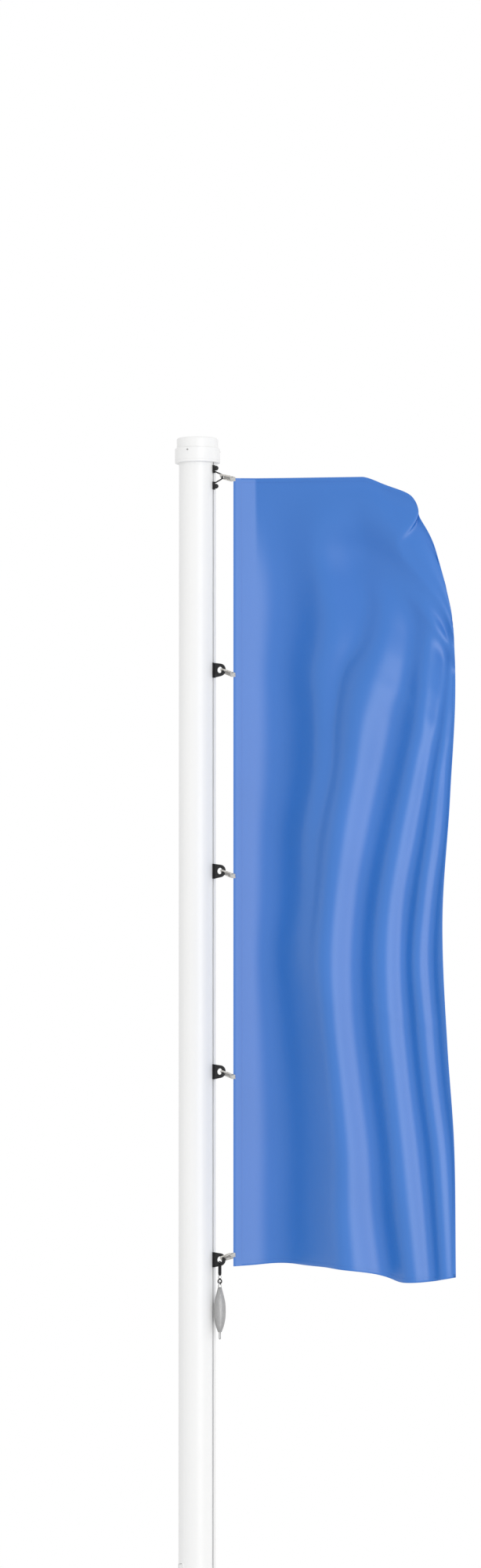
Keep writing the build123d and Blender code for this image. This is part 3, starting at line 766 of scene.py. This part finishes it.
# Weight's cords: the sleeve's strands go on as a small loop at the top and a longer one below,
# each laid up of three cords, with a thread whipping round the lower neck.
def laid_cord(name, leg, width, bend, radius, foot_z, way):
    """Loop of three cords laid round each other, from a foot up or down and back."""
    half = width / 2
    path = [(-half, z) for z in np.linspace(0, leg - bend, 24)]
    path += [
        (-half + bend - bend * math.cos(a), leg - bend + bend * math.sin(a))
        for a in np.linspace(0, math.pi / 2, 12)[1:]]
    path += [(y, leg) for y in np.linspace(-half + bend, half - bend, 5)[1:-1]]
    path += [(-y, z) for y, z in path[::-1][3:]]
    path = np.array([(weight_x, y, foot_z + way * z) for y, z in path])
    gone = np.concatenate([[0], np.cumsum(np.linalg.norm(np.diff(path, axis=0), axis=1))])
    even = np.linspace(0, gone[-1], 130)
    path = np.stack([np.interp(even, gone, path[:, k]) for k in range(3)], -1)
    run_way = np.gradient(path, axis=0)
    run_way /= np.linalg.norm(run_way, axis=1, keepdims=True)
    level = np.tile([1.0, 0, 0], (len(path), 1))
    rise = np.cross(run_way, level)
    points, faces = [], []
    for start in (0, 2 * math.pi / 3, 4 * math.pi / 3):
        lay = start + even * 2 * math.pi / (radius * 6.5)
        centre = path + (level * np.cos(lay)[:, None] + rise * np.sin(lay)[:, None]) * (radius / 2)
        rings = [
            centre + (level * math.cos(a) + rise * math.sin(a)) * (radius / 2)
            for a in np.radians(range(0, 360, 45))]
        faces += tube_faces(len(path), len(rings), sum(map(len, points)))
        points.append(np.stack(rings, 1).reshape(-1, 3))
    mesh = bpy.data.meshes.new(name)
    mesh.from_pydata(np.concatenate(points).tolist(), [], faces)
    mesh.polygons.foreach_set("use_smooth", [True] * len(mesh.polygons))
    mesh.materials.append(sleeve_grey)
    made = show(name, mesh)
    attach(made, "weight")
    return made


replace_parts(laid_cord("weight_top_loop", 0.009, 0.009, 0.0042, 0.0015, 2.0944, 1), "weight_loop")
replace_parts(laid_cord("weight_low_loop", 0.019, 0.0064, 0.003, 0.0014, 1.9694, -1), "weight_tail")

whip_tree, given, result = node_tree("whipping", {
    "Turns": "Int", "Radius": "Float", "Thread": "Float", "Low": "Vector", "Step": "Vector",
    "Finish": "Material"})
stations = add(whip_tree, "GeometryNodeMeshLine", {
    "Count": given["Turns"], "Start Location": given["Low"], "Offset": given["Step"]}).outputs[0]
hoop = add(whip_tree, "GeometryNodeCurvePrimitiveCircle", {"Resolution": 36, "Radius": given["Radius"]})
strand = add(whip_tree, "GeometryNodeCurvePrimitiveCircle", {"Resolution": 8, "Radius": given["Thread"]})
hoop = add(whip_tree, "GeometryNodeCurveToMesh", {
    "Curve": hoop.outputs["Curve"], "Profile Curve": strand.outputs["Curve"]}).outputs[0]
turns = add(whip_tree, "GeometryNodeInstanceOnPoints", {"Points": stations, "Instance": hoop}).outputs[0]
finish_tree(whip_tree, turns, given["Finish"], result)
whipping = grown("weight_whipping", bpy.data.meshes.new("whip base"), whip_tree, {
    "Turns": 6, "Radius": 0.0046, "Thread": 0.0006, "Low": (weight_x, 0.0, 1.9700),
    "Step": (0.0, 0.0, 0.0010), "Finish": sleeve_grey})
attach(whipping, "weight")


# Floor: a pale studio floor with a faint grain, for the pole to stand on. It lies below the
# camera's picture and shows in other views.
floor_half = 9
floor_mesh = bpy.data.meshes.new("floor")
floor_mesh.from_pydata([
    (-floor_half, -floor_half, 0), (floor_half, -floor_half, 0), (floor_half, floor_half, 0),
    (-floor_half, floor_half, 0)], [], [(0, 1, 2, 3)])
floor = show("floor", floor_mesh)
floor_pale, floor_tree, floor_shader = new_finish("floor_pale", (0.82, 0.82, 0.82), 0.8)
floor_grain = noise(floor_tree, object_place(floor_tree), 30, 4.0)
toned(floor_tree, floor_shader, floor_grain, (0.80, 0.80, 0.80), (0.84, 0.84, 0.84))
floor.data.materials.append(floor_pale)


# Studio light and camera: a white sky that lights a little less than it shows, soft boxes round
# the pole, and a long lens a little below the flag on its show side. One soft box, in front of
# the key, adds only to reflections, for the sheen of the cloth.
world = bpy.data.worlds.new("studio")
bpy.context.scene.world = world
world.use_nodes = True
air = world.node_tree
rays = add(air, "ShaderNodeLightPath")
seen = worked(air, "MAXIMUM", rays.outputs["Is Camera Ray"], rays.outputs["Is Glossy Ray"])
seen = worked(air, "MAXIMUM", seen, rays.outputs["Is Transmission Ray"])
sky = air.nodes["Background"]
sky.inputs["Color"].default_value = (1, 1, 1, 1)
air.links.new(between(air, seen, 0.88, 1.0), sky.inputs["Strength"])


def lamp(name, azimuth, height, distance, width, tall, power, shine_only=False):
    """Soft box that stands round the pole at an azimuth and faces its axis at a height."""
    light = bpy.data.lights.new(name, "AREA")
    light.shape = "RECTANGLE"
    light.size, light.size_y, light.energy = width, tall, power
    made = bpy.data.objects.new(name, light)
    turn = math.radians(azimuth)
    made.location = (distance * math.sin(turn), -distance * math.cos(turn), height)
    made.rotation_euler = (Vector((0, 0, height)) - made.location).to_track_quat("-Z", "Y").to_euler()
    made.visible_camera = False
    made.visible_diffuse = not shine_only
    bpy.context.scene.collection.objects.link(made)


lamp("key softbox", 51, 3.6, 6.0, 1.3, 5.2, 60)
lamp("key sheen", 51, 3.6, 5.9, 1.3, 5.2, 72, True)
lamp("left key wing", 38, 3.6, 6.0, 1.3, 5.2, 19)
lamp("right key wing", 64, 3.6, 6.0, 1.3, 5.2, 19)
lamp("fill softbox", -10, 3.0, 7.0, 3.0, 6.0, 16)
lamp("rim softbox", 122, 3.0, 6.0, 1.6, 6.0, 20)

view_turn, view_lift, view_range = math.radians(31), math.radians(-5), 28.0
view_across, view_height, view_tall = 0.1163, 3.4454, 4.2228
aim = Vector((view_across * math.cos(view_turn), view_across * math.sin(view_turn), view_height))
level = math.cos(view_lift)
back = Vector((math.sin(view_turn) * level, -math.cos(view_turn) * level, math.sin(view_lift)))
camera_data = bpy.data.cameras.new("camera")
camera_data.sensor_width = 36
camera_data.lens = camera_data.sensor_width * view_range / view_tall
camera_data.clip_end = 200
camera = bpy.data.objects.new("camera", camera_data)
camera.location = aim + back * view_range
camera.rotation_euler = (-back).to_track_quat("-Z", "Y").to_euler()
bpy.context.scene.collection.objects.link(camera)
bpy.context.scene.camera = camera
bpy.context.scene.view_settings.view_transform = "Standard"
